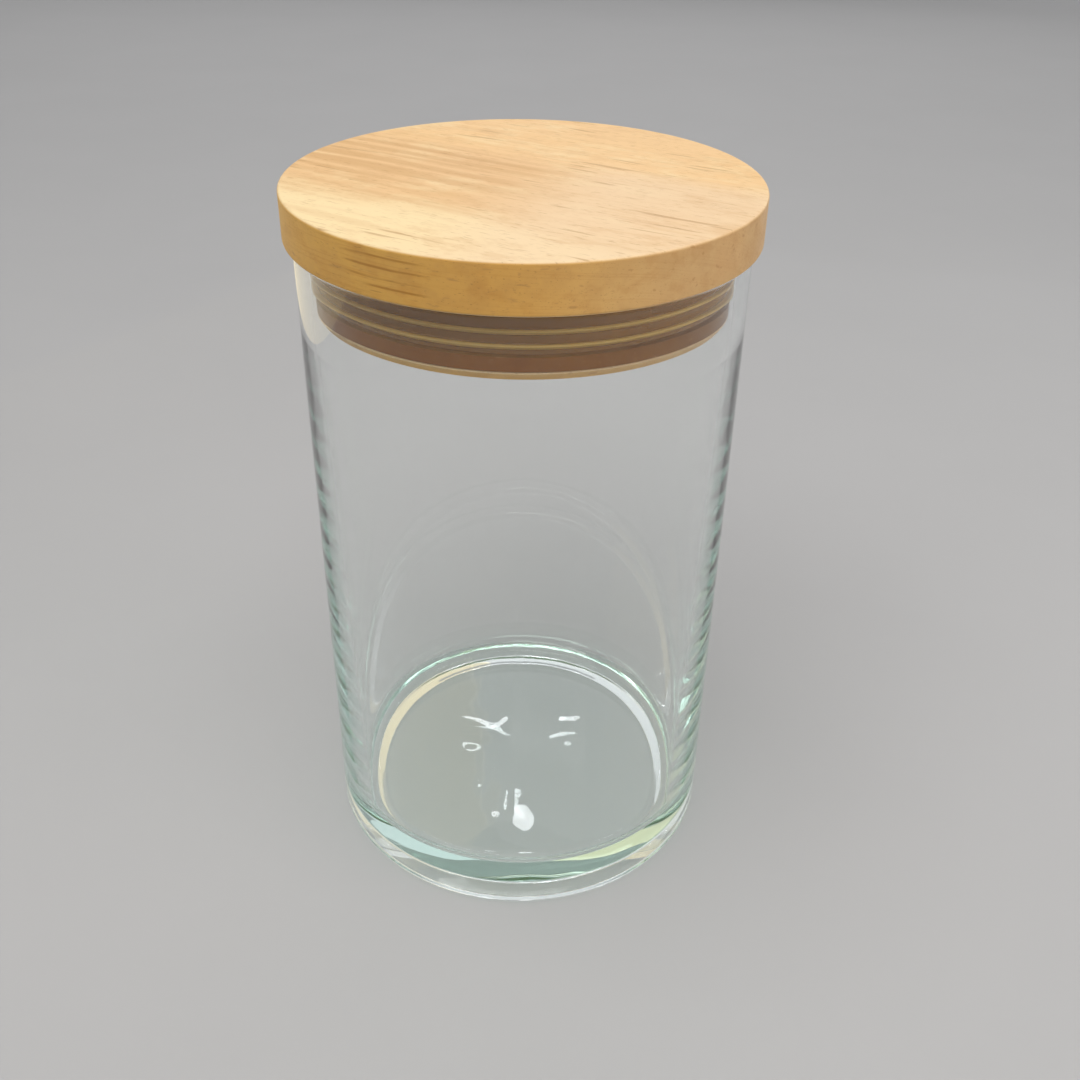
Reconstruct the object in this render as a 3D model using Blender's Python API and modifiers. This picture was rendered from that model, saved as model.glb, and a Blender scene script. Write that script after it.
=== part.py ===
"""A glass storage canister: a straight glass jar, a turned wooden plug lid and a finned silicone ring.

Every piece is turned about the +Z axis. The origin is the middle of the jar's foot.
Lengths are in metres. A profile is a list of (radius, height) points in its piece's own frame.
"""

import math

import bpy

# Glass jar
JAR_RADIUS = 0.050
JAR_HEIGHT = 0.1605
WALL = 0.003
RIM_ROUND_SHARE = 0.42
MOUTH_DEPTH = 0.020
WALL_THICKENING = 0.0024
HEEL_RADIUS = 0.0032
FOOT_WIDTH = 0.0024
PUSH_UP_RISE = 0.0028
PUSH_UP_SLOPE = math.radians(28)
PUSH_UP_ROUND = 0.003
PUNT_RISE = 0.0007
FLOOR_THICKNESS = 0.0112
FLOOR_CROWN = 0.0005
FLOOR_FILLET = 0.0042

# Wooden lid, measured from the underside of its disc, which rests on the rim
SEAT_GAP = 0.0003
DISC_OVERHANG = 0.002
DISC_THICKNESS = 0.0105
DISC_EDGE = 0.0006
PLUG_DEPTH = 0.015
PLUG_CLEARANCE = 0.001
PLUG_EDGE = 0.0004
GROOVE_HEIGHT = 0.010
GROOVE_DEPTH = 0.002
LEAD_IN_HEIGHT = 0.002
LEAD_IN_TAPER = 0.0007
LEAD_IN_SCORE = 0.0004

# Silicone sealing ring, drawn with its fins bent up by the glass as they are in use
RING_WALL = 0.0011
RING_CLEARANCE = 0.0003
FIN_COUNT = 3
FIN_PITCH = 0.003
FIN_ROOT = 0.0011
FIN_TIP = 0.0006
FIN_BEND = 0.0005
FIN_CLEARANCE = 0.0003

# How finely the round forms are divided
TURN_STEPS = 72
ARC_STEPS = 5
BEND_STEPS = 3
DOME_STEPS = 4
SMOOTH_ANGLE = math.radians(35)
WELD_DISTANCE = 0.00005

QUARTER_TURN = math.pi / 2

BORE_RADIUS = JAR_RADIUS - WALL
SEAT_HEIGHT = JAR_HEIGHT + SEAT_GAP


def arc(centre, radius, start, end, steps=ARC_STEPS):
    """Points from angle start to angle end on a circle in the (radius, height) plane."""
    turn = (end - start) / steps
    angles = [start + turn * step for step in range(steps + 1)]
    return [
        (centre[0] + radius * math.cos(angle), centre[1] + radius * math.sin(angle))
        for angle in angles
    ]


def dome(reach, base, rise):
    """Points from the axis out to reach on a shallow dome that rises above base in the middle."""
    shares = [step / DOME_STEPS for step in range(DOME_STEPS + 1)]
    return [(reach * share, base + rise * (1 - share**2)) for share in shares]


def push_up(corner_radius):
    """The step that lifts the underside off the ground, inwards from the foot ring's inner corner.

    The corner is rounded, a straight slope climbs from it, and a second rounding brings it level.
    """
    tangent = PUSH_UP_ROUND * math.tan(PUSH_UP_SLOPE / 2)
    run = PUSH_UP_RISE / math.tan(PUSH_UP_SLOPE)
    lower = (corner_radius + tangent, PUSH_UP_ROUND)
    upper = (corner_radius - run - tangent, PUSH_UP_RISE - PUSH_UP_ROUND)
    down = -QUARTER_TURN
    slope = QUARTER_TURN - PUSH_UP_SLOPE
    return (
        arc(lower, PUSH_UP_ROUND, down, down - PUSH_UP_SLOPE, BEND_STEPS)
        + arc(upper, PUSH_UP_ROUND, slope, QUARTER_TURN, BEND_STEPS)
    )


def jar_profile():
    """Floor, inner corner, bore, rounded rim, outer wall, heel, foot ring and pushed-up underside.

    The bore is straight in the mouth and narrows below it, so the wall is thickest at the floor.
    """
    rim = WALL * RIM_ROUND_SHARE
    floor_reach = BORE_RADIUS - WALL_THICKENING - FLOOR_FILLET
    foot_outer = JAR_RADIUS - HEEL_RADIUS
    underside = push_up(foot_outer - FOOT_WIDTH)
    punt_reach = underside[-1][0]
    corner = (floor_reach, FLOOR_THICKNESS + FLOOR_FILLET)
    inner_rim = (BORE_RADIUS + rim, JAR_HEIGHT - rim)
    outer_rim = (JAR_RADIUS - rim, JAR_HEIGHT - rim)
    heel = (foot_outer, HEEL_RADIUS)
    return (
        dome(floor_reach, FLOOR_THICKNESS, FLOOR_CROWN)[:-1]
        + arc(corner, FLOOR_FILLET, -QUARTER_TURN, 0)
        + [(BORE_RADIUS, JAR_HEIGHT - MOUTH_DEPTH)]
        + arc(inner_rim, rim, 2 * QUARTER_TURN, QUARTER_TURN)
        + arc(outer_rim, rim, QUARTER_TURN, 0)
        + arc(heel, HEEL_RADIUS, 0, -QUARTER_TURN)
        + underside
        + dome(punt_reach, PUSH_UP_RISE, PUNT_RISE)[-2::-1]
    )


def lid_profile():
    """Disc, then the plug with its ring groove, its lip, a scored line and a tapered lead-in."""
    disc_radius = JAR_RADIUS + DISC_OVERHANG
    lip_radius = BORE_RADIUS - PLUG_CLEARANCE
    core_radius = lip_radius - GROOVE_DEPTH
    score_top = LEAD_IN_HEIGHT - PLUG_DEPTH
    score_bottom = score_top - LEAD_IN_SCORE
    top_edge = (disc_radius - DISC_EDGE, DISC_THICKNESS - DISC_EDGE)
    under_edge = (disc_radius - DISC_EDGE, DISC_EDGE)
    foot_edge = (lip_radius - LEAD_IN_TAPER - PLUG_EDGE, PLUG_EDGE - PLUG_DEPTH)
    return (
        [(0, DISC_THICKNESS)]
        + arc(top_edge, DISC_EDGE, QUARTER_TURN, 0)
        + arc(under_edge, DISC_EDGE, 0, -QUARTER_TURN)
        + [(core_radius, 0), (core_radius, -GROOVE_HEIGHT)]
        + [(lip_radius, -GROOVE_HEIGHT), (lip_radius, score_top)]
        + [(lip_radius - LEAD_IN_SCORE, (score_top + score_bottom) / 2)]
        + [(lip_radius, score_bottom)]
        + arc(foot_edge, PLUG_EDGE, 0, -QUARTER_TURN)
        + [(0, -PLUG_DEPTH)]
    )


def fin_profile(root_radius, tip_radius, height):
    """One fin from top to bottom: it tapers to a rounded tip that the glass bends upwards."""
    tip = (tip_radius - FIN_TIP / 2, height + FIN_BEND)
    return (
        [(root_radius, height + FIN_ROOT / 2)]
        + arc(tip, FIN_TIP / 2, QUARTER_TURN, -QUARTER_TURN)
        + [(root_radius, height - FIN_ROOT / 2)]
    )


def ring_profile():
    """A closed section: the sleeve that sits in the plug's groove, with its fins outside."""
    core_radius = BORE_RADIUS - PLUG_CLEARANCE - GROOVE_DEPTH
    inner = core_radius + RING_CLEARANCE
    outer = inner + RING_WALL
    tip = BORE_RADIUS - FIN_CLEARANCE
    top = -RING_CLEARANCE
    bottom = RING_CLEARANCE - GROOVE_HEIGHT
    middle = (top + bottom) / 2
    first = middle + FIN_PITCH * (FIN_COUNT - 1) / 2
    outside = []
    for index in range(FIN_COUNT):
        outside += fin_profile(outer, tip, first - FIN_PITCH * index)
    return [(inner, top), (outer, top)] + outside + [(outer, bottom), (inner, bottom)]


def material(name, colour, roughness, transmission=0.0, index=1.45):
    """A Principled material with the finish of one piece."""
    finish = bpy.data.materials.new(name)
    finish.use_nodes = True
    shader = finish.node_tree.nodes["Principled BSDF"]
    shader.inputs["Base Color"].default_value = (*colour, 1.0)
    shader.inputs["Roughness"].default_value = roughness
    shader.inputs["Metallic"].default_value = 0.0
    shader.inputs["Transmission Weight"].default_value = transmission
    shader.inputs["IOR"].default_value = index
    return finish


def turned(name, profile, finish, collection, closed=False):
    """A solid of revolution whose profile runs down its outer side, shaded smooth."""
    points = [(radius, 0, height) for radius, height in profile]
    edges = [(start, start + 1) for start in range(len(points) - 1)]
    if closed:
        edges.append((len(points) - 1, 0))
    outline = bpy.data.meshes.new(name + "_profile")
    outline.from_pydata(points, edges, [])
    piece = bpy.data.objects.new(name, outline)
    collection.objects.link(piece)
    screw = piece.modifiers.new("turn", "SCREW")
    screw.axis = "Z"
    screw.angle = 4 * QUARTER_TURN
    screw.steps = TURN_STEPS
    screw.render_steps = TURN_STEPS
    screw.use_merge_vertices = True
    screw.merge_threshold = WELD_DISTANCE
    bpy.context.view_layer.update()
    graph = bpy.context.evaluated_depsgraph_get()
    solid = bpy.data.meshes.new_from_object(piece.evaluated_get(graph))
    piece.modifiers.clear()
    piece.data = solid
    bpy.data.meshes.remove(outline)
    solid.name = name
    solid.shade_smooth()
    solid.set_sharp_from_angle(angle=SMOOTH_ANGLE)
    solid.materials.append(finish)
    return piece


def clear_scene():
    """Removes whatever the scene held before."""
    for leftover in list(bpy.data.objects):
        bpy.data.objects.remove(leftover, do_unlink=True)


def build_canister():
    """The jar on the ground, the ring in its mouth and the lid in the ring."""
    clear_scene()
    parts = bpy.data.collections.new("glass_canister")
    bpy.context.scene.collection.children.link(parts)

    glass = material("clear_glass", (0.93, 0.97, 0.95), 0.02, transmission=1.0, index=1.52)
    silicone = material("clear_silicone", (0.82, 0.78, 0.70), 0.35, transmission=0.7, index=1.41)
    wood = material("pale_rubberwood", (0.80, 0.56, 0.31), 0.45)

    jar = turned("glass_jar", jar_profile(), glass, parts)
    ring = turned("sealing_ring", ring_profile(), silicone, parts, closed=True)
    lid = turned("wooden_lid", lid_profile(), wood, parts)

    ring.parent = jar
    ring.location = (0, 0, SEAT_HEIGHT)
    lid.parent = ring


build_canister()
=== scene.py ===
"""The looks of a glass canister: a clear glass jar, a finned silicone ring and a turned wooden lid.

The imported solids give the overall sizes, and every piece here is turned about +Z in the same place.
Lengths are in metres and angles in radians. An outline is a chain of (radius, height) points.
"""

from __future__ import annotations

import logging
import math
from dataclasses import dataclass, field
from enum import Enum
from functools import cached_property, partial, reduce

import bmesh
import bpy
from mathutils import Matrix, Vector


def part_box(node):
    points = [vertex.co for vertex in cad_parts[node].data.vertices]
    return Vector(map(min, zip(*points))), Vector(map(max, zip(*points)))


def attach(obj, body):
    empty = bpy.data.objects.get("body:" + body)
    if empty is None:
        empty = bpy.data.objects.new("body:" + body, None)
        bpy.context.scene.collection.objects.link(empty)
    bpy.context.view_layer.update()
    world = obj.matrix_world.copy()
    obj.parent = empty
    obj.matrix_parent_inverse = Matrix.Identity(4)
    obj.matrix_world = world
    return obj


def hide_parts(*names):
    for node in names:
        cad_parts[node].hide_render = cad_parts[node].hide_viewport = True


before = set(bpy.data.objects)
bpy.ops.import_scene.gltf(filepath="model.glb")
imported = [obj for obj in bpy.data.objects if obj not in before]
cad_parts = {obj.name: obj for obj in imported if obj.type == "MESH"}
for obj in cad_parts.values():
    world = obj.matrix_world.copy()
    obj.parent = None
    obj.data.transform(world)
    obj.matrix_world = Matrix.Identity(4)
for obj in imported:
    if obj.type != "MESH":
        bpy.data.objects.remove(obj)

LOG = logging.getLogger("canister")
QUARTER = math.pi / 2
MILLIMETRES = 1000.0
SAME_POINT = 1e-9
HOLD = 0.0001
SMEARS_SHOW = (0.48, 0.72)

Socket = bpy.types.NodeSocket
Sockets = bpy.types.NodeOutputs
Tree = bpy.types.NodeTree
Material = bpy.types.Material
Piece = bpy.types.Object
Value = object
Point = tuple[float, float]
Limits = tuple[float, float]
Triple = tuple[float, float, float]
Colour = tuple[float, float, float]

WHITE: Colour = (1.0, 1.0, 1.0)
SOFT_WHITE: Colour = (1.0, 0.97, 0.93)
CREAM: Colour = (1.0, 0.80, 0.38)
COOL: Colour = (0.95, 0.98, 1.0)


class LampShape(Enum):
    """The forms that a lamp's face can have."""

    RECTANGLE = "RECTANGLE"
    ELLIPSE = "ELLIPSE"


class Seen(Enum):
    """Where a lamp shows: on matt faces, in mirroring faces and through glass."""

    EVERYWHERE = (True, True, True)
    ON_MATT = (True, False, False)
    MIRRORED = (False, True, False)
    THROUGH = (False, False, True)


class Slot(Enum):
    """The record's material slots."""

    GLASS = "clear_glass"
    SILICONE = "clear_silicone"
    WOOD = "pale_wood"


class Body(Enum):
    """The bodies that move."""

    JAR = "jar"
    SEAL = "seal"
    LID = "lid"


# Wiring of node trees


class Wiring:
    """A node tree that is being wired up."""

    def __init__(self, tree: Tree) -> None:
        """Keeps the tree."""
        self.tree = tree

    def add(self, kind: str, values: dict | None = None, **settings: Value) -> bpy.types.Node:
        """Adds one node.

        Args:
            kind: The node's type name.
            values: What its inputs get, by their names or numbers.
            settings: The node's own settings.

        Returns:
            The new node.
        """
        node = self.tree.nodes.new(kind)
        for name, setting in settings.items():
            setattr(node, name, setting)
        self.fill(node, values or {})
        return node

    def out(self, kind: str, values: dict | None = None, **settings: Value) -> Socket:
        """Adds one node and returns its first output."""
        return self.add(kind, values, **settings).outputs[0]

    def fill(self, node: bpy.types.Node, values: dict) -> None:
        """Gives a node's inputs their values.

        Args:
            node: The node.
            values: A value, or a socket to link from, for each input by its name or number.
        """
        for key, value in values.items():
            socket = node.inputs[key]
            if isinstance(value, Socket):
                self.tree.links.new(value, socket)
            else:
                socket.default_value = (*value, 1.0) if socket.type == "RGBA" else value

    def math(self, operation: str, *terms: Value) -> Socket:
        """Adds a Math node and returns what it works out from one to three terms."""
        return self.out("ShaderNodeMath", dict(enumerate(terms)), operation=operation)

    def product(self, *factors: Value) -> Value:
        """Multiplies values, one after another."""
        return reduce(partial(self.math, "MULTIPLY"), factors)

    def ramp(self, factor: Value, low: Value, high: Value) -> Socket:
        """Returns a smooth step: 0 where factor is at low, 1 where it is at high."""
        values = {"Value": factor, "From Min": low, "From Max": high}
        return self.out("ShaderNodeMapRange", values, interpolation_type="SMOOTHSTEP")

    def noise(self, vector: Value, scale: Value, detail: float = 2.0, rough: float = 0.5) -> Socket:
        """Returns the grey value of a Noise Texture, about 0.5 in the mean."""
        values = {"Vector": vector, "Scale": scale, "Detail": detail, "Roughness": rough}
        return self.out("ShaderNodeTexNoise", values)

    def stretched(self, vector: Value, scale: Triple, turn: float = 0.0) -> Socket:
        """Returns the vector scaled by its own factor on each axis, then turned about Z."""
        values = {"Vector": vector, "Scale": scale, "Rotation": (0.0, 0.0, turn)}
        return self.out("ShaderNodeMapping", values, vector_type="POINT")

    def axes(self, vector: Value) -> Sockets:
        """Splits a vector into X, Y and Z."""
        return self.add("ShaderNodeSeparateXYZ", {"Vector": vector}).outputs

    def vector(self, **axes: Value) -> Socket:
        """Joins what is given of X, Y and Z into a vector."""
        return self.out("ShaderNodeCombineXYZ", axes)

    def between(self, operation: str, *vectors: Value) -> Socket:
        """Adds a Vector Math node and returns the vector or the length that it works out."""
        outputs = self.add("ShaderNodeVectorMath", dict(enumerate(vectors)), operation=operation).outputs
        return outputs["Value" if operation in ("LENGTH", "DISTANCE") else "Vector"]

    def off_axis(self, place: Value) -> Socket:
        """Returns how far a place is from the Z axis."""
        axes = self.axes(place)
        return self.between("LENGTH", self.vector(X=axes["X"], Y=axes["Y"]))

    def tinted(self, share: Value, first: Value, second: Value, blend: str = "MIX") -> Socket:
        """Returns the first colour with the second over it, as far as its share from 0 to 1."""
        values = {0: share, 6: first, 7: second}
        return self.add("ShaderNodeMix", values, data_type="RGBA", blend_type=blend).outputs[2]


def new_group(name: str, kind: str, inputs: dict, outputs: dict) -> Tree:
    """Makes an empty node group with named sockets.

    Args:
        name: The group's name.
        kind: The tree's type, for shaders or for geometry.
        inputs: Each input's default value by its name, or the kind of its socket where it has none.
        outputs: The kind of each output's socket by its name.

    Returns:
        The node group.
    """
    group = bpy.data.node_groups.new(name, kind)
    for label, given in inputs.items():
        named = given if isinstance(given, str) else type(given).__name__.capitalize()
        socket = group.interface.new_socket(name=label, in_out="INPUT", socket_type="NodeSocket" + named)
        if named != given:
            socket.default_value = given
    for label, named in outputs.items():
        group.interface.new_socket(name=label, in_out="OUTPUT", socket_type="NodeSocket" + named)
    return group


def placed(name: str, data: bpy.types.ID) -> Piece:
    """Puts a new object into the scene.

    Args:
        name: The object's name.
        data: Its mesh, lamp or camera.

    Returns:
        The object.
    """
    piece = bpy.data.objects.new(name, data)
    bpy.context.scene.collection.objects.link(piece)
    return piece


# Outlines and the lathe


@dataclass
class Outline:
    """An outline in the plane of radius and height, drawn point by point.

    Where it has a hold, an extra point that far from each end of a straight run keeps its shading flat.
    """

    hold: float = 0.0
    points: list[Point] = field(default_factory=list)

    def at(self, radius: float, height: float) -> None:
        """Adds one point, unless the outline is there already."""
        if not self.points or math.dist(self.points[-1], (radius, height)) > SAME_POINT:
            self.points.append((radius, height))

    def run(self, radius: float, height: float, steps: int) -> None:
        """Adds a straight run from the last point.

        Args:
            radius: The radius that the run ends at.
            height: The height that the run ends at.
            steps: How many even steps it has.
        """
        start = Vector(self.points[-1])
        way = Vector((radius, height)) - start
        shares = [step / steps for step in range(1, steps + 1)]
        if self.hold:
            shares = sorted({self.hold / way.length, 1 - self.hold / way.length, *shares})
        for share in shares:
            self.at(*(start + way * share))

    def arc(self, centre: Point, radius: float, start: float, end: float, steps: int) -> None:
        """Adds an arc.

        Args:
            centre: The centre of the circle.
            radius: The circle's radius.
            start: The angle of its first point.
            end: The angle of its last point.
            steps: How many steps it has.
        """
        for step in range(steps + 1):
            angle = start + (end - start) * step / steps
            self.at(centre[0] + radius * math.cos(angle), centre[1] + radius * math.sin(angle))

    def dome(self, reach: float, base: float, rise: float, steps: int, inwards: bool = False) -> None:
        """Adds a shallow dome about the axis.

        Args:
            reach: The dome's radius.
            base: The height of its edge.
            rise: How far its middle stands above its edge.
            steps: How many steps it has.
            inwards: True to draw it from its edge to the axis.
        """
        shares = [step / steps for step in range(steps + 1)]
        for share in reversed(shares) if inwards else shares:
            self.at(reach * share, base + rise * (1 - share**2))

    def drawn(self, name: str) -> Piece:
        """Puts the outline into the scene as a chain of edges in the XZ plane.

        Args:
            name: The name of its object.

        Returns:
            The object.
        """
        mesh = bpy.data.meshes.new(name)
        edges = [(index, index + 1) for index in range(len(self.points) - 1)]
        mesh.from_pydata([(radius, 0.0, height) for radius, height in self.points], edges, [])
        return placed(name, mesh)


class Machine(Wiring):
    """A Geometry Nodes tree that takes a geometry and a finish."""

    def __init__(self, name: str, inputs: dict) -> None:
        """Starts the tree.

        Args:
            name: The tree's name.
            inputs: Its own further inputs, as new_group takes them.
        """
        inputs = {"Geometry": "Geometry", **inputs, "Finish": "Material"}
        super().__init__(new_group(name, "GeometryNodeTree", inputs, {"Geometry": "Geometry"}))
        self.given = self.add("NodeGroupInput").outputs

    def welded(self, geometry: Value) -> Socket:
        """Joins the points that lie within the tree's weld distance."""
        values = {"Geometry": geometry, "Distance": self.given["Weld"]}
        return self.out("GeometryNodeMergeByDistance", values)

    def finished(self, geometry: Value) -> Tree:
        """Ends the tree: its instances are made real and its faces get their finish.

        Args:
            geometry: What the tree has made.

        Returns:
            The tree.
        """
        real = self.out("GeometryNodeRealizeInstances", {"Geometry": geometry})
        values = {"Geometry": real, "Material": self.given["Finish"]}
        self.add("NodeGroupOutput", {"Geometry": self.out("GeometryNodeSetMaterial", values)})
        return self.tree


@dataclass
class Workshop:
    """The Geometry Nodes trees that make the pieces, each built once."""

    turns: int = 288
    weld: float = 1e-6

    @cached_property
    def lathe(self) -> Tree:
        """Builds the tree that turns an outline about Z into a closed, smooth surface.

        Returns:
            The tree.
        """
        tree = Machine("Turned on a lathe", {"Turns": self.turns, "Closed": False, "Weld": self.weld})
        given = tree.given
        chain = tree.out("GeometryNodeMeshToCurve", {"Mesh": given["Geometry"]})
        size = tree.add("GeometryNodeAttributeDomainSize", {"Geometry": chain}, component="CURVE")
        count = size.outputs["Point Count"]
        rows = tree.math("ADD", count, given["Closed"])
        columns = tree.math("ADD", given["Turns"], 1.0)
        values = {"Size X": 1.0, "Size Y": 1.0, "Vertices X": rows, "Vertices Y": columns}
        sheet = tree.out("GeometryNodeMeshGrid", values)
        place = tree.out("GeometryNodeInputPosition")
        cell = tree.axes(place)
        share = tree.math("ADD", cell["X"], 0.5)
        row = tree.math("ROUND", tree.product(share, tree.math("SUBTRACT", rows, 1.0)))
        point = tree.out(
            "GeometryNodeSampleIndex",
            {"Geometry": chain, "Value": place, "Index": tree.math("MODULO", row, count)},
            data_type="FLOAT_VECTOR",
            domain="POINT",
        )
        drawn = tree.axes(point)
        angle = tree.product(tree.math("ADD", cell["Y"], 0.5), 4 * QUARTER)
        east = tree.product(drawn["X"], tree.math("COSINE", angle))
        north = tree.product(drawn["X"], tree.math("SINE", angle))
        turned = tree.vector(X=east, Y=north, Z=drawn["Z"])
        wrapped = tree.out("GeometryNodeSetPosition", {"Geometry": sheet, "Position": turned})
        smooth = tree.out("GeometryNodeSetShadeSmooth", {"Geometry": tree.welded(wrapped)})
        return tree.finished(smooth)

    @cached_property
    def ripple(self) -> Tree:
        """Builds the tree that makes faces near the axis uneven, as the base of pressed glass is.

        Returns:
            The tree.
        """
        inputs = {"Swell": 0.0001, "Length": 0.012, "Reach": 0.038, "Top": 0.02, "Seed": 0.0}
        tree = Machine("Uneven pressing", inputs)
        given = tree.given
        place = tree.out("GeometryNodeInputPosition")
        inner_reach = tree.product(given["Reach"], 0.8)
        inside = tree.ramp(tree.off_axis(place), given["Reach"], inner_reach)
        low = tree.math("LESS_THAN", tree.axes(place)["Z"], given["Top"])
        scale = tree.math("DIVIDE", 1.0, given["Length"])
        values = {"Vector": place, "W": given["Seed"], "Scale": scale, "Detail": 1.0}
        wave = tree.out("ShaderNodeTexNoise", values, noise_dimensions="4D")
        lift = tree.product(tree.math("SUBTRACT", wave, 0.5), given["Swell"], inside, low)
        values = {"Geometry": given["Geometry"], "Offset": tree.vector(Z=lift)}
        moved = tree.out("GeometryNodeSetPosition", values)
        return tree.finished(moved)

    @cached_property
    def repeat(self) -> Tree:
        """Builds the tree that sets copies of an outline one below another and joins them up.

        Returns:
            The tree.
        """
        inputs = {"Rib": "Object", "Count": 3, "First": 0.0, "Pitch": 0.003, "Weld": self.weld}
        tree = Machine("Repeated down a wall", inputs)
        given = tree.given
        start = tree.vector(Z=given["First"])
        step = tree.vector(Z=tree.product(given["Pitch"], -1.0))
        values = {"Count": given["Count"], "Start Location": start, "Offset": step}
        line = tree.out("GeometryNodeMeshLine", values, mode="OFFSET")
        rib = tree.add("GeometryNodeObjectInfo", {"Object": given["Rib"]}).outputs["Geometry"]
        copies = tree.out("GeometryNodeInstanceOnPoints", {"Points": line, "Instance": rib})
        real = tree.out("GeometryNodeRealizeInstances", {"Geometry": copies})
        whole = tree.add("GeometryNodeJoinGeometry")
        for part in (given["Geometry"], real):
            tree.fill(whole, {0: part})
        return tree.finished(tree.welded(whole.outputs[0]))

    def send_through(self, piece: Piece, tree: Tree, **settings: Value) -> None:
        """Puts a piece through a tree.

        Args:
            piece: The object that gets the tree as a modifier.
            tree: The Geometry Nodes tree.
            settings: The tree's inputs by name.
        """
        modifier = piece.modifiers.new(tree.name, "NODES")
        modifier.node_group = tree
        for item in tree.interface.items_tree:
            if item.in_out == "INPUT" and item.name in settings:
                modifier[item.identifier] = settings[item.name]

    def turn(self, piece: Piece, finish: Material, closed: bool = False) -> None:
        """Puts an outline, which may be closed in itself, on the lathe."""
        self.send_through(piece, self.lathe, Turns=self.turns, Closed=closed, Finish=finish)

    def finished(self, piece: Piece, name: str) -> Piece:
        """Turns what a piece's trees make into a plain mesh whose faces point outwards.

        Args:
            piece: The outline with its trees.
            name: The finished piece's name.

        Returns:
            The finished piece, at the origin and with no modifier.
        """
        bpy.context.view_layer.update()
        graph = bpy.context.evaluated_depsgraph_get()
        solid = bpy.data.meshes.new_from_object(piece.evaluated_get(graph))
        bpy.data.meshes.remove(piece.data)
        shell = bmesh.new()
        shell.from_mesh(solid)
        bmesh.ops.recalc_face_normals(shell, faces=shell.faces)
        if shell.calc_volume(signed=True) < 0:
            bmesh.ops.reverse_faces(shell, faces=shell.faces)
        shell.to_mesh(solid)
        shell.free()
        solid.name = name
        return placed(name, solid)


# Finishes


def handling_group() -> Tree:
    """Builds the shared effect of handled surfaces: faint smears in the gloss, and fine unevenness.

    Returns:
        The node group.
    """
    inputs = {"Vector": "Vector", "Roughness": 0.1, "Spread": 0.05, "Smear Scale": 0.05, "Grain Scale": 1.0}
    outputs = {"Roughness": "Float", "Height": "Float"}
    wiring = Wiring(new_group("Handled surface", "ShaderNodeTree", inputs, outputs))
    given = wiring.add("NodeGroupInput").outputs
    smears = wiring.noise(given["Vector"], given["Smear Scale"], 4.0, 0.6)
    share = wiring.ramp(smears, *SMEARS_SHOW)
    rough = wiring.math("MULTIPLY_ADD", share, given["Spread"], given["Roughness"])
    grain = wiring.noise(given["Vector"], given["Grain Scale"])
    height = wiring.math("MULTIPLY_ADD", smears, 0.5, wiring.product(grain, 0.5))
    wiring.add("NodeGroupOutput", {"Roughness": rough, "Height": height})
    return wiring.tree


class Coat(Wiring):
    """A material that is being wired up, with its Principled shader and its output."""

    def __init__(self, name: str) -> None:
        """Makes the material.

        Args:
            name: The material's name.
        """
        self.material = bpy.data.materials.new(name)
        self.material.use_nodes = True
        super().__init__(self.material.node_tree)
        self.shader = self.tree.nodes["Principled BSDF"]
        self.output = self.tree.nodes["Material Output"]

    def millimetres(self, turn: float = 0.0) -> Socket:
        """Returns the place on the piece in millimetres, turned about Z."""
        place = self.add("ShaderNodeTexCoord").outputs["Object"]
        return self.stretched(place, (MILLIMETRES,) * 3, turn)

    def let_lamps_through(self, film: Colour) -> None:
        """Lets light on its way from a lamp or a matt face pass straight through a clear material.

        Args:
            film: How much of each colour passes one surface.
        """
        path = self.add("ShaderNodeLightPath").outputs
        plain = self.math("MAXIMUM", path["Is Shadow Ray"], path["Is Diffuse Ray"])
        clear = self.out("ShaderNodeBsdfTransparent", {"Color": film})
        mixed = self.out("ShaderNodeMixShader", {0: plain, 1: self.shader.outputs[0], 2: clear})
        self.fill(self.output, {"Surface": mixed})


@dataclass(frozen=True)
class Figure:
    """A figure in wood: noise that is stretched along the grain and shows between two levels."""

    stretch: Triple
    detail: float
    rough: float
    shows: Limits
    strength: float


@dataclass(frozen=True)
class Streaks:
    """Streaks that follow the rings: their pitch and length in millimetres, and where they show."""

    pitch: float
    run: float
    shows: Limits


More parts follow.
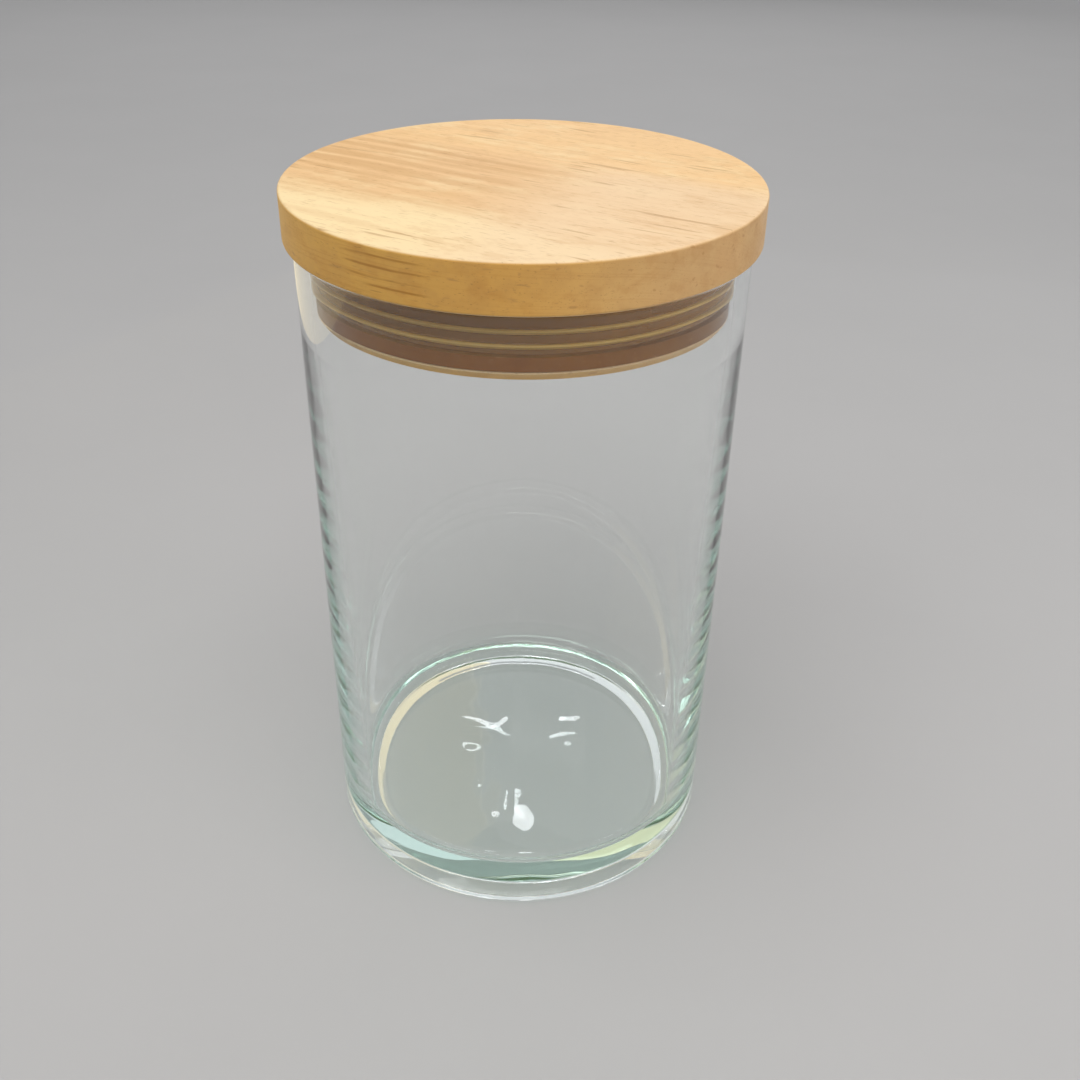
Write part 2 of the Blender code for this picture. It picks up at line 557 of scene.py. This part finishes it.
class Timber(Coat):
    """The coat of a wooden piece, which knows its grain and its rings."""

    bend_stretch: Triple = (0.010, 0.030, 0.030)
    sway: Triple = (0.0, 5.0, 3.0)

    def __init__(self, name: str, turn: float, pith: Point, ground: Colour) -> None:
        """Lays out the grain, gently bent, and the distance from the pith in millimetres.

        Args:
            name: The material's name.
            turn: The angle between the grain and X.
            pith: Where the pith lies across the grain and in height.
            ground: The colour that every other colour is laid over.
        """
        super().__init__(name)
        self.ground: Value = ground
        place = self.millimetres(turn)
        slow = self.stretched(place, self.bend_stretch)
        values = {"Vector": slow, "Scale": 1.0, "Detail": 1.0}
        bend = self.add("ShaderNodeTexNoise", values).outputs["Color"]
        centred = self.between("SUBTRACT", bend, (0.5, 0.5, 0.5))
        self.grain = self.between("ADD", place, self.between("MULTIPLY", centred, self.sway))
        axes = self.axes(self.grain)
        self.along = axes["X"]
        self.across = axes["Y"]
        sideways = self.math("SUBTRACT", self.across, pith[0])
        upwards = self.math("SUBTRACT", axes["Z"], pith[1])
        self.rings = self.between("LENGTH", self.vector(Y=sideways, Z=upwards))

    def lay(self, colour: Value, *shares: Value, blend: str = "MIX") -> None:
        """Lays a colour over the ground as far as all its shares together let it show."""
        self.ground = self.tinted(self.product(*shares), self.ground, colour, blend)

    def grained(self, stretch: Triple, detail: float, rough: float = 0.5) -> Socket:
        """Returns noise that is stretched along the grain."""
        return self.noise(self.stretched(self.grain, stretch), 1.0, detail, rough)

    def figure(self, figure: Figure) -> Socket:
        """Returns a figure, 1 where it is full and 0 where there is none."""
        return self.ramp(self.grained(figure.stretch, figure.detail, figure.rough), *figure.shows)

    def ring_noise(self, pitch: float, run: float) -> Socket:
        """Returns noise that follows the rings, with streaks about a pitch apart and a run long."""
        along, across = (self.math("DIVIDE", place, run) for place in (self.along, self.across))
        return self.noise(self.vector(X=along, Y=self.math("DIVIDE", self.rings, pitch), Z=across), 1.0)

    def streaks(self, streaks: Streaks) -> Socket:
        """Returns streaks, 1 where they are full and 0 between them."""
        return self.ramp(self.ring_noise(streaks.pitch, streaks.run), *streaks.shows)

    def bands(self, rings: Value, places: tuple[float, ...], width: float) -> Value:
        """Returns soft bands, 1 inside and 0 between them, at these distances from the pith."""
        away = (self.math("ABSOLUTE", self.math("SUBTRACT", rings, place)) for place in places)
        return reduce(partial(self.math, "ADD"), (self.ramp(gap, width, width * 0.3) for gap in away))


@dataclass(frozen=True)
class Finish:
    """What every finish shares: its name and how handling shows in its gloss."""

    name: str
    handling: Tree
    roughness: float
    roughness_spread: float
    smear_scale: float
    grain_scale: float

    def handled(self, coat: Coat, place: Value, spread: Value) -> Sockets:
        """Adds the shared effect of handled surfaces, where a smear is rougher by the spread."""
        values = (place, self.roughness, spread, self.smear_scale, self.grain_scale)
        return coat.add("ShaderNodeGroup", dict(enumerate(values)), node_tree=self.handling).outputs


@dataclass(frozen=True)
class ClearGlass(Finish):
    """Clear soda glass: polished, with faint smears, and green where light goes a long way through it."""

    roughness: float = 0.0
    roughness_spread: float = 0.012
    smear_scale: float = 0.06
    grain_scale: float = 0.08
    index: float = 1.52
    film: Colour = (0.95, 0.965, 0.96)
    depth_colour: Colour = (0.10, 0.86, 0.62)
    depth_density: float = 3.2
    smears_above: float = 30.0
    unevenness: float = 0.00002

    def make(self) -> Material:
        """Builds the glass.

        Returns:
            The material.
        """
        coat = Coat(self.name)
        place = coat.millimetres()
        wall = coat.ramp(coat.axes(place)["Z"], self.smears_above, 2 * self.smears_above)
        marks = self.handled(coat, place, coat.product(wall, self.roughness_spread))
        waves = coat.product(marks["Height"], wall)
        bump = coat.out("ShaderNodeBump", {"Height": waves, "Distance": self.unevenness})
        values = {
            "Base Color": WHITE,
            "Transmission Weight": 1.0,
            "IOR": self.index,
            "Roughness": marks["Roughness"],
            "Normal": bump,
        }
        coat.fill(coat.shader, values)
        values = {"Color": self.depth_colour, "Density": self.depth_density}
        coat.fill(coat.output, {"Volume": coat.out("ShaderNodeVolumeAbsorption", values)})
        coat.let_lamps_through(self.film)
        return coat.material


@dataclass(frozen=True)
class ClearSilicone(Finish):
    """Moulded silicone: a translucent sleeve whose dark brown is painted shade, the wood behind it seen in
    shadow, with paler fins in painted light.
    """

    roughness: float = 0.10
    roughness_spread: float = 0.06
    smear_scale: float = 0.15
    grain_scale: float = 1.2
    index: float = 1.41
    film: Colour = (0.93, 0.90, 0.84)
    # Brown of the sleeve: painted shade, the wood behind the clear silicone seen in shadow between the fins.
    tint: Colour = (0.38, 0.18, 0.02)
    cloud_shade: float = 0.92
    # Paler tan of the fins: painted light where they catch light through the glass.
    fin_tint: Colour = (0.96, 0.66, 0.18)
    fins_from: Limits = (45.45, 45.75)
    fin_roughness: float = 0.30
    clearness: float = 0.55

    def make(self) -> Material:
        """Builds the silicone.

        Returns:
            The material.
        """
        coat = Coat(self.name)
        place = coat.millimetres()
        marks = self.handled(coat, place, self.roughness_spread)
        # The sleeve's painted shade, mottled, with the fins' painted light laid over it by distance from the
        # axis.
        darker = tuple(share * self.cloud_shade for share in self.tint)
        sleeve = coat.tinted(coat.noise(place, 0.3, 3.0), self.tint, darker)
        fins = coat.ramp(coat.off_axis(place), *self.fins_from)
        values = {
            "Base Color": coat.tinted(fins, sleeve, self.fin_tint),
            "Transmission Weight": self.clearness,
            "IOR": self.index,
            "Roughness": coat.math("MULTIPLY_ADD", fins, self.fin_roughness, marks["Roughness"]),
        }
        coat.fill(coat.shader, values)
        coat.let_lamps_through(self.film)
        return coat.material


@dataclass(frozen=True)
class PaleWood(Finish):
    """Pale hardwood smoothed with fine sandpaper: a cream edge, a pinkish streaked middle, flecks and short
    pores.
    """

    roughness: float = 0.45
    roughness_spread: float = 0.10
    smear_scale: float = 0.04
    grain_scale: float = 3.0
    grain_turn: float = math.radians(30)
    pith: Point = (-54.0, 63.0)
    cream: Colour = (0.84, 0.66, 0.38)
    blush: Colour = (0.74, 0.48, 0.24)
    honey: Colour = (0.80, 0.53, 0.26)
    bleached: Colour = (0.80, 0.60, 0.38)
    streak: Colour = (0.60, 0.35, 0.15)
    fleck: Colour = (0.42, 0.22, 0.08)
    pore: Colour = (0.30, 0.15, 0.05)
    # Multipliers for the upright faces. Darker and more saturated: partly the end grain's own oil-darkened
    # tone, partly painted shade. Paler and greyer towards +X: a painted sheen.
    oiled: Colour = (0.80, 0.58, 0.25)
    sanded: Colour = (0.76, 0.66, 0.50)
    # Multiplier for the plug between the lead-in and the disc: painted shade, as under the disc inside the
    # jar.
    plug_shade: Colour = (0.36, 0.22, 0.03)
    ragged_stretch: Triple = (0.03, 0.12, 0.12)
    ragged_reach: float = 14.0
    middle_from: Limits = (-36.0, -20.0)
    far_from: Limits = (8.0, 20.0)
    left_from: Limits = (14.0, -10.0)
    bleached_across: Limits = (24.0, 10.0)
    bleached_along: Limits = (-6.0, 22.0)
    bleached_share: float = 0.7
    torn_along: Limits = (11.0, 6.0)
    upright_from: Limits = (0.9, 0.3)
    # Where the upright faces go from painted shade to the painted sheen, along X.
    sanded_from: Limits = (-5.0, 38.0)
    blotch_noise: Triple = (0.14, 3.0, 0.6)
    blotch_shows: Limits = (0.42, 0.62)
    blotch_share: float = 0.18
    # The heights that the plug's painted shade covers, leaving the lead-in lighter.
    plug_limits: Limits = (147.6, 160.7)
    dark_spot: Triple = (39.5, -33.0, 167.0)
    dark_spot_edge: Limits = (7.0, 4.0)
    dark_spot_share: float = 0.35
    top_bands: tuple[float, ...] = (124.8, 122.4, 118.9, 116.6)
    band_width: float = 1.0
    band_share: float = 0.60
    side_lines: tuple[float, ...] = (106.3, 104.4, 102.3, 100.8)
    line_width: float = 0.30
    line_share: float = 0.65
    mottle: Figure = Figure((0.07, 0.16, 0.16), 3.0, 0.6, (0.45, 0.70), 0.5)
    cloud: Figure = Figure((0.10, 0.22, 0.22), 4.0, 0.65, (0.48, 0.68), 0.28)
    long_flecks: Figure = Figure((0.05, 0.55, 0.85), 1.0, 0.4, (0.68, 0.76), 0.50)
    short_flecks: Figure = Figure((0.22, 1.6, 1.6), 2.0, 0.5, (0.64, 0.74), 0.38)
    pores: Figure = Figure((0.30, 4.5, 4.5), 1.0, 0.5, (0.66, 0.74), 0.40)
    band_waves: Point = (3.0, 22.0)
    torn: Streaks = Streaks(2.0, 26.0, (0.38, 0.56))
    broad: Streaks = Streaks(1.1, 60.0, (0.44, 0.70))
    broad_share: Limits = (0.50, 0.08)
    fine: Streaks = Streaks(0.45, 24.0, (0.50, 0.70))
    fine_share: Limits = (0.08, 0.16)
    fibre_stretch: Triple = (0.3, 8.0, 8.0)
    fibre_share: float = 0.25
    pore_roughness: float = 0.25
    relief: float = 0.00010
    relief_strength: float = 0.6
    sheen: float = 0.15

    def _lay_ground(self, wood: Timber) -> Value:
        """Lays the areas of colour and the soft clouds over one another.

        Args:
            wood: The coat.

        Returns:
            How strongly the broad streaks show.
        """
        edge = wood.math("SUBTRACT", wood.grained(self.ragged_stretch, 3.0, 0.6), 0.5)
        ragged = wood.math("MULTIPLY_ADD", edge, self.ragged_reach, wood.across)
        middle = wood.ramp(ragged, *self.middle_from)
        far = wood.ramp(wood.across, *self.far_from)
        right = wood.ramp(wood.along, *self.bleached_along)
        wood.lay(self.blush, middle)
        wood.lay(self.honey, far)
        wood.lay(self.cream, wood.figure(self.mottle), self.mottle.strength)
        wood.lay(self.bleached, wood.ramp(ragged, *self.bleached_across), right, self.bleached_share)
        wood.lay(self.streak, wood.figure(self.cloud), self.cloud.strength)
        return wood.math("SUBTRACT", middle, wood.product(far, 0.75))

    def _lay_streaks(self, wood: Timber, streaky: Value) -> None:
        """Lays the bands and the streaks over the ground.

        Args:
            wood: The coat.
            streaky: How strongly the broad streaks show.
        """
        left = wood.ramp(wood.along, *self.left_from)
        wave = wood.math("SUBTRACT", wood.ring_noise(*self.band_waves), 0.5)
        wavy = wood.math("MULTIPLY_ADD", wave, 0.9, wood.rings)
        bands = wood.bands(wavy, self.top_bands, self.band_width)
        wood.lay(self.streak, bands, left, self.band_share)
        near = wood.ramp(wood.math("ABSOLUTE", wood.along), *self.torn_along)
        torn = wood.product(near, wood.streaks(self.torn))
        lines = wood.bands(wavy, self.side_lines, self.line_width)
        wood.lay(self.fleck, lines, torn, self.line_share)
        strong = wood.product(streaky, wood.math("MULTIPLY_ADD", left, *self.broad_share))
        wood.lay(self.streak, wood.streaks(self.broad), strong)
        weak = wood.math("MULTIPLY_ADD", left, *self.fine_share)
        wood.lay(self.streak, wood.streaks(self.fine), weak)

    def _lay_sides(self, wood: Timber) -> None:
        """Darkens the upright faces, partly for their darker end grain and partly as painted shade, with a
        painted sheen towards +X; lays blotches on them and a dark spot; and paints shade on the plug.

        Args:
            wood: The coat.
        """
        facing = wood.add("ShaderNodeTexCoord").outputs["Normal"]
        upright = wood.ramp(wood.math("ABSOLUTE", wood.axes(facing)["Z"]), *self.upright_from)
        place = wood.millimetres()
        straight = wood.axes(place)
        # Painted shade on the upright faces, partly their real darker end grain, turning to a painted sheen
        # towards +X.
        side = wood.tinted(wood.ramp(straight["X"], *self.sanded_from), self.oiled, self.sanded)
        wood.lay(side, upright, blend="MULTIPLY")
        blotch = wood.ramp(wood.noise(place, *self.blotch_noise), *self.blotch_shows)
        wood.lay(self.fleck, blotch, upright, self.blotch_share)
        spot = wood.ramp(wood.between("DISTANCE", place, self.dark_spot), *self.dark_spot_edge)
        wood.lay(self.streak, spot, self.dark_spot_share)
        # Painted shade on the plug, from the lead-in up to the disc.
        foot, top = self.plug_limits
        above = wood.math("GREATER_THAN", straight["Z"], foot)
        wood.lay(self.plug_shade, above, wood.math("LESS_THAN", straight["Z"], top), blend="MULTIPLY")

    def make(self) -> Material:
        """Builds the wood.

        Returns:
            The material.
        """
        wood = Timber(self.name, self.grain_turn, self.pith, self.cream)
        self._lay_streaks(wood, self._lay_ground(wood))
        self._lay_sides(wood)
        pores = wood.figure(self.pores)
        for figure in (self.long_flecks, self.short_flecks):
            wood.lay(self.fleck, wood.figure(figure), figure.strength)
        wood.lay(self.pore, pores, self.pores.strength)
        handled = self.handled(wood, wood.grain, self.roughness_spread)
        fibre = wood.grained(self.fibre_stretch, 1.0)
        soft = wood.math("MULTIPLY_ADD", fibre, self.fibre_share, handled["Height"])
        height = wood.math("MULTIPLY_ADD", pores, -1.0, soft)
        rough = wood.math("MULTIPLY_ADD", pores, self.pore_roughness, handled["Roughness"])
        bump = {"Height": height, "Distance": self.relief, "Strength": self.relief_strength}
        values = {
            "Base Color": wood.ground,
            "Roughness": rough,
            "Normal": wood.out("ShaderNodeBump", bump),
            "Specular IOR Level": self.sheen,
        }
        wood.fill(wood.shader, values)
        return wood.material


# Pieces


def seat(piece: Piece, body: Body, node: str) -> None:
    """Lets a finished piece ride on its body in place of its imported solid.

    Args:
        piece: The finished piece.
        body: The body that it moves with.
        node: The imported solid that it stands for.
    """
    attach(piece, body.value)
    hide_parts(node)
    LOG.info("%s with %d faces rides on %s", piece.name, len(piece.data.polygons), body.value)


@dataclass
class TurnedPiece:
    """What every piece has: the workshop that it is made in, and its finish."""

    workshop: Workshop
    finish: Material


@dataclass
class GlassJar(TurnedPiece):
    """The straight jar: a rounded rim, a bore that narrows downwards and a thick, pushed-up base."""

    wall: float = 0.003
    mouth_depth: float = 0.020
    wall_thickening: float = 0.0024
    rim_round_share: float = 0.42
    heel_radius: float = 0.0032
    foot_width: float = 0.0024
    push_up_rise: float = 0.0028
    push_up_slope: float = math.radians(28)
    push_up_round: float = 0.003
    punt_rise: float = 0.0007
    floor_thickness: float = 0.0112
    floor_crown: float = 0.0005
    floor_fillet: float = 0.0042
    swell: float = 0.00022
    swell_length: float = 0.014
    floor_steps: int = 28
    corner_steps: int = 14
    bore_steps: int = 20
    mouth_steps: int = 4
    rim_steps: int = 12
    wall_steps: int = 24
    bend_steps: int = 8
    punt_steps: int = 24

    def __post_init__(self) -> None:
        """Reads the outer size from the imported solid."""
        _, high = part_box("glass_jar")
        self.radius = high.x
        self.height = high.z

    @property
    def bore(self) -> float:
        """The radius of the inside at the mouth."""
        return self.radius - self.wall

    @property
    def floor_reach(self) -> float:
        """The radius of the floor, up to where it turns up into the wall."""
        return self.bore - self.wall_thickening - self.floor_fillet

    def _add_push_up(self, outline: Outline, corner: float) -> None:
        """Adds the step that lifts the underside off the ground inside the foot ring.

        Args:
            outline: The outline so far, which ends on the heel.
            corner: The radius where the foot's flat would meet the slope.
        """
        bend = self.push_up_round
        tangent = bend * math.tan(self.push_up_slope / 2)
        inner = corner - self.push_up_rise / math.tan(self.push_up_slope) - tangent
        slope = QUARTER - self.push_up_slope
        outline.run(corner + tangent, 0.0, 1)
        outline.arc((corner + tangent, bend), bend, -QUARTER, slope - 2 * QUARTER, self.bend_steps)
        slope_top = self.push_up_rise - bend * (1 - math.sin(slope))
        outline.run(inner + bend * math.cos(slope), slope_top, 2)
        outline.arc((inner, self.push_up_rise - bend), bend, slope, QUARTER, self.bend_steps)
        outline.dome(inner, self.push_up_rise, self.punt_rise, self.punt_steps, inwards=True)

    def outline(self) -> Outline:
        """Draws the jar from the middle of its floor to the middle of its underside.

        Returns:
            The outline.
        """
        rim = self.wall * self.rim_round_share
        foot = self.radius - self.heel_radius
        reach = self.floor_reach
        shape = Outline(HOLD)
        shape.dome(reach, self.floor_thickness, self.floor_crown, self.floor_steps)
        corner = (reach, self.floor_thickness + self.floor_fillet)
        shape.arc(corner, self.floor_fillet, -QUARTER, 0.0, self.corner_steps)
        shape.run(self.bore, self.height - self.mouth_depth, self.bore_steps)
        shape.run(self.bore, self.height - rim, self.mouth_steps)
        shape.arc((self.bore + rim, self.height - rim), rim, 2 * QUARTER, QUARTER, self.rim_steps)
        shape.arc((self.radius - rim, self.height - rim), rim, QUARTER, 0.0, self.rim_steps)
        shape.run(self.radius, self.heel_radius, self.wall_steps)
        shape.arc((foot, self.heel_radius), self.heel_radius, 0.0, -QUARTER, self.corner_steps)
        self._add_push_up(shape, foot - self.foot_width)
        return shape

    def make(self) -> None:
        """Builds the jar and seats it."""
        blank = self.outline().drawn("jar_outline")
        self.workshop.turn(blank, self.finish)
        self.workshop.send_through(
            blank,
            self.workshop.ripple,
            Swell=self.swell,
            Length=self.swell_length,
            Reach=self.floor_reach - self.floor_fillet,
            Top=self.floor_thickness + self.floor_fillet,
            Finish=self.finish,
        )
        seat(self.workshop.finished(blank, "jar_glass"), Body.JAR, "glass_jar")


@dataclass
class WoodenLid(TurnedPiece):
    """The disc with the plug under it: a groove for the ring, a lip, a scored line and a tapered lead-in."""

    bore: float
    disc_thickness: float = 0.0105
    disc_edge: float = 0.0006
    plug_clearance: float = 0.001
    plug_edge: float = 0.0004
    groove_height: float = 0.010
    groove_depth: float = 0.002
    lead_in_height: float = 0.002
    lead_in_taper: float = 0.0007
    lead_in_score: float = 0.0004
    sharp_above: float = math.radians(40)
    top_steps: int = 16
    side_steps: int = 6
    core_steps: int = 4
    end_steps: int = 12
    edge_steps: int = 8
    plug_edge_steps: int = 6

    def __post_init__(self) -> None:
        """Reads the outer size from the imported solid."""
        low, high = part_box("wooden_lid")
        self.disc_radius = high.x
        self.top = high.z
        self.bottom = low.z

    @property
    def underside(self) -> float:
        """The height of the disc's underside."""
        return self.top - self.disc_thickness

    @property
    def lip(self) -> float:
        """The radius of the plug's lip, just inside the bore of the mouth."""
        return self.bore - self.plug_clearance

    @property
    def core(self) -> float:
        """The radius of the groove's floor."""
        return self.lip - self.groove_depth

    def outline(self) -> Outline:
        """Draws the lid from the middle of its top to the middle of the plug's end.

        Returns:
            The outline.
        """
        edge = self.disc_radius - self.disc_edge
        groove_floor = self.underside - self.groove_height
        score_top = self.bottom + self.lead_in_height
        score_foot = score_top - self.lead_in_score
        taper_end = (self.lip - self.lead_in_taper - self.plug_edge, self.bottom + self.plug_edge)
        shape = Outline(HOLD)
        shape.at(0.0, self.top)
        shape.run(edge, self.top, self.top_steps)
        shape.arc((edge, self.top - self.disc_edge), self.disc_edge, QUARTER, 0.0, self.edge_steps)
        lower = (edge, self.underside + self.disc_edge)
        shape.run(self.disc_radius, lower[1], self.side_steps)
        shape.arc(lower, self.disc_edge, 0.0, -QUARTER, self.edge_steps)
        shape.run(self.core, self.underside, 2)
        shape.run(self.core, groove_floor, self.core_steps)
        shape.run(self.lip, groove_floor, 1)
        shape.run(self.lip, score_top, 2)
        shape.at(self.lip - self.lead_in_score, (score_top + score_foot) / 2)
        shape.at(self.lip, score_foot)
        shape.arc(taper_end, self.plug_edge, 0.0, -QUARTER, self.plug_edge_steps)
        shape.run(0.0, self.bottom, self.end_steps)
        return shape

    def make(self) -> None:
        """Builds the lid and seats it."""
        blank = self.outline().drawn("lid_outline")
        self.workshop.turn(blank, self.finish)
        lid = self.workshop.finished(blank, "lid_wood")
        lid.data.set_sharp_from_angle(angle=self.sharp_above)
        seat(lid, Body.LID, "wooden_lid")


@dataclass
class SealingRing(TurnedPiece):
    """The moulded ring round the plug: a sleeve with fins that the glass bends upwards."""

    core: float
    wall: float = 0.0011
    clearance: float = 0.0003
    fin_count: int = 3
    fin_pitch: float = 0.003
    fin_root: float = 0.0011
    fin_tip: float = 0.0006
    fin_bend: float = 0.0005
    edge: float = 0.00015
    tip_steps: int = 12
    edge_steps: int = 4
    wall_steps: int = 6

    def __post_init__(self) -> None:
        """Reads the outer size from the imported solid."""
        low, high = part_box("sealing_ring")
        self.tip_radius = high.x
        self.top = high.z
        self.bottom = low.z
        self.middle = (self.top + self.bottom) / 2
        self.inner = self.core + self.clearance
        self.outer = self.inner + self.wall

    def _rib(self) -> Outline:
        """Draws one pitch of the sleeve's outer side, with a fin in its middle.

        Returns:
            The outline.
        """
        sleeve, edge = self.outer, self.edge
        half = self.fin_pitch / 2
        tip = (self.tip_radius - self.fin_tip / 2, self.fin_bend)
        root = self.fin_root / 2
        shape = Outline()
        shape.at(sleeve, half)
        shape.run(sleeve, root + edge, 2)
        shape.at(sleeve + edge / 2, root + edge / 3)
        shape.at(sleeve + edge, root)
        shape.arc(tip, self.fin_tip / 2, QUARTER, -QUARTER, self.tip_steps)
        shape.at(sleeve + edge, -root)
        shape.at(sleeve + edge / 2, -root - edge / 3)
        shape.at(sleeve, -root - edge)
        shape.run(sleeve, -half, 2)
        return shape

    def _sleeve(self) -> Outline:
        """Draws the rest of the section, open over the height that the ribs take.

        Returns:
            The outline.
        """
        reach = self.fin_pitch * self.fin_count / 2
        near, far = self.inner + self.edge, self.outer - self.edge
        low, high = self.bottom + self.edge, self.top - self.edge
        shape = Outline()
        shape.at(self.outer, self.middle + reach)
        for quarter, corner in enumerate(((far, high), (near, high), (near, low), (far, low))):
            if corner == (near, low):
                shape.run(self.inner, low, self.wall_steps)
            shape.arc(corner, self.edge, quarter * QUARTER, (quarter + 1) * QUARTER, self.edge_steps)
        shape.at(self.outer, self.middle - reach)
        return shape

    def make(self) -> None:
        """Builds the ring and seats it."""
        rib = self._rib().drawn("rib_outline")
        blank = self._sleeve().drawn("ring_outline")
        self.workshop.send_through(
            blank,
            self.workshop.repeat,
            Rib=rib,
            Count=self.fin_count,
            First=self.middle + self.fin_pitch * (self.fin_count - 1) / 2,
            Pitch=self.fin_pitch,
            Finish=self.finish,
        )
        self.workshop.turn(blank, self.finish, closed=True)
        ring = self.workshop.finished(blank, "ring_silicone")
        bpy.data.meshes.remove(rib.data)
        seat(ring, Body.SEAL, "sealing_ring")


# Studio


@dataclass(frozen=True)
class Softbox:
    """A soft flat lamp that faces a point."""

    name: str
    place: Triple
    width: float
    height: float
    glow: float
    colour: Colour = WHITE
    target: Triple = (0.0, 0.0, 0.09)
    seen: Seen = Seen.EVERYWHERE
    shape: LampShape = LampShape.RECTANGLE

    def hang(self) -> None:
        """Puts the lamp into the scene."""
        lamp = bpy.data.lights.new(self.name, "AREA")
        lamp.shape = self.shape.value
        lamp.size, lamp.size_y = self.width, self.height
        lamp.energy = self.glow * math.pi * self.width * self.height
        lamp.color = self.colour
        holder = placed(self.name, lamp)
        holder.location = self.place
        way = Vector(self.target) - Vector(self.place)
        holder.rotation_euler = way.to_track_quat("-Z", "Y").to_euler()
        holder.visible_camera = False
        holder.visible_diffuse, holder.visible_glossy, holder.visible_transmission = self.seen.value


@dataclass(frozen=True)
class Spark(Softbox):
    """A small bright oval lamp that makes points of light in the base of the jar."""

    colour: Colour = (0.95, 0.97, 1.0)
    shape: LampShape = LampShape.ELLIPSE


@dataclass(frozen=True)
class Viewpoint:
    """The camera, at the photograph's viewing angle."""

    place: Triple = (0.0, -0.25739, 0.24502)
    yaw: float = math.radians(1.0552)
    pitch: float = math.radians(32.7592)
    roll: float = math.radians(0.9837)
    sensor: float = 36.0
    image_pixels: float = 1080.0
    focal_pixels: float = 1198.57
    nearest: float = 0.01

    def set_up(self) -> None:
        """Makes the camera and the scene's view of it."""
        data = bpy.data.cameras.new("camera")
        data.sensor_width = self.sensor
        data.lens = self.sensor * self.focal_pixels / self.image_pixels
        data.clip_start = self.nearest
        view = Matrix.Translation(self.place)
        for angle, axis in ((-self.yaw, "Z"), (QUARTER - self.pitch, "X"), (self.roll, "Z")):
            view = view @ Matrix.Rotation(angle, 4, axis)
        holder = placed("camera", data)
        holder.matrix_world = view
        bpy.context.scene.camera = holder


@dataclass(frozen=True)
class Studio:
    """A plain pale floor under soft light, with cards that only the glass shows."""

    floor_reach: float = 4.0
    floor_drop: float = 0.0003
    floor_colour: Colour = (0.455, 0.455, 0.46)
    floor_noise: Triple = (9.0, 5.0, 0.6)
    floor_shade: float = 0.94
    floor_roughness: float = 0.9
    floor_sheen: float = 0.1
    far_colour: Colour = (0.90, 0.90, 0.92)
    fade: Limits = (1.45, 2.1)
    sky_colour: Colour = (0.97, 0.98, 1.0)
    sky_strength: float = 0.35
    light_bounces: int = 40
    lamps: tuple[Softbox, ...] = (
        Softbox("high_softbox", (-0.20, -0.42, 1.20), 1.1, 1.1, 3.25, SOFT_WHITE),
        Softbox("back_softbox", (0.10, 1.30, 0.75), 2.2, 0.9, 0.8, (1.0, 0.98, 0.96), seen=Seen.ON_MATT),
        Softbox("right_fill", (0.90, -0.38, 0.45), 0.7, 0.6, 3.2, SOFT_WHITE, seen=Seen.ON_MATT),
        Softbox(
            "left_card", (-0.318, 0.167, 0.30), 0.88, 0.60, 0.56, CREAM, (0.477, -0.439, 0.30), Seen.MIRRORED
        ),
        Softbox(
            "back_card", (0.470, 0.367, 0.305), 1.09, 0.60, 0.50, COOL, (0.202, -0.596, 0.305), Seen.MIRRORED
        ),
        Softbox(
            "far_left_card", (-1.272, 0.668, 1.4), 3.52, 2.0, 0.56, CREAM, (-0.477, 0.062, 1.4), Seen.THROUGH
        ),
        Softbox(
            "far_back_card", (1.880, 1.468, 1.4), 4.36, 2.0, 0.50, COOL, (1.612, 0.505, 1.4), Seen.THROUGH
        ),
        Spark("small_spark", (-0.075, 1.20, 1.335), 0.034, 0.026, 40.0),
        Spark("large_spark", (0.02, 1.20, 1.35), 0.042, 0.042, 40.0),
        Spark("left_spark", (-0.10, 1.20, 1.05), 0.15, 0.020, 30.0),
        Spark("right_spark", (0.15, 1.20, 1.04), 0.065, 0.032, 30.0),
    )

    def _floor(self) -> None:
        """Lays the floor just under the foot, faintly uneven in tone and paler where it meets the sky."""
        mesh = bpy.data.meshes.new("floor")
        reach = self.floor_reach
        corners = [(-reach, -reach), (reach, -reach), (reach, reach), (-reach, reach)]
        mesh.from_pydata([(x, y, -self.floor_drop) for x, y in corners], [], [(0, 1, 2, 3)])
        floor = placed("floor", mesh)
        coat = Coat("pale_floor")
        place = coat.add("ShaderNodeTexCoord").outputs["Object"]
        darker = tuple(share * self.floor_shade for share in self.floor_colour)
        tone = coat.tinted(coat.noise(place, *self.floor_noise), self.floor_colour, darker)
        away = coat.ramp(coat.between("LENGTH", place), *self.fade)
        values = {
            "Base Color": coat.tinted(away, tone, self.far_colour),
            "Roughness": self.floor_roughness,
            "Specular IOR Level": self.floor_sheen,
        }
        coat.fill(coat.shader, values)
        mesh.materials.append(coat.material)

    def _sky(self) -> None:
        """Surrounds the scene with even pale light."""
        world = bpy.data.worlds.new("studio")
        world.use_nodes = True
        light = world.node_tree.nodes["Background"]
        Wiring(world.node_tree).fill(light, {"Color": self.sky_colour, "Strength": self.sky_strength})
        bpy.context.scene.world = world

    def set_up(self) -> None:
        """Makes the floor, the light and the way that light is followed through glass."""
        scene = bpy.context.scene
        scene.view_settings.view_transform = "Standard"
        for kind in ("max", "glossy", "transmission", "transparent_max"):
            setattr(scene.cycles, kind + "_bounces", self.light_bounces)
        self._floor()
        self._sky()
        for lamp in self.lamps:
            lamp.hang()


def main() -> None:
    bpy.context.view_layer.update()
    Viewpoint().set_up()
    Studio().set_up()

    workshop = Workshop()
    handling = handling_group()
    glass = ClearGlass("jar_clear_glass", handling).make()
    silicone = ClearSilicone("ring_clear_silicone", handling).make()
    wood = PaleWood("lid_pale_wood", handling).make()

    jar = GlassJar(workshop, glass)
    lid = WoodenLid(workshop, wood, jar.bore)
    ring = SealingRing(workshop, silicone, lid.core)
    for piece in (jar, lid, ring):
        piece.make()


if __name__ == "__main__":
    logging.basicConfig(level=logging.INFO, format="%(name)s: %(message)s")
    main()
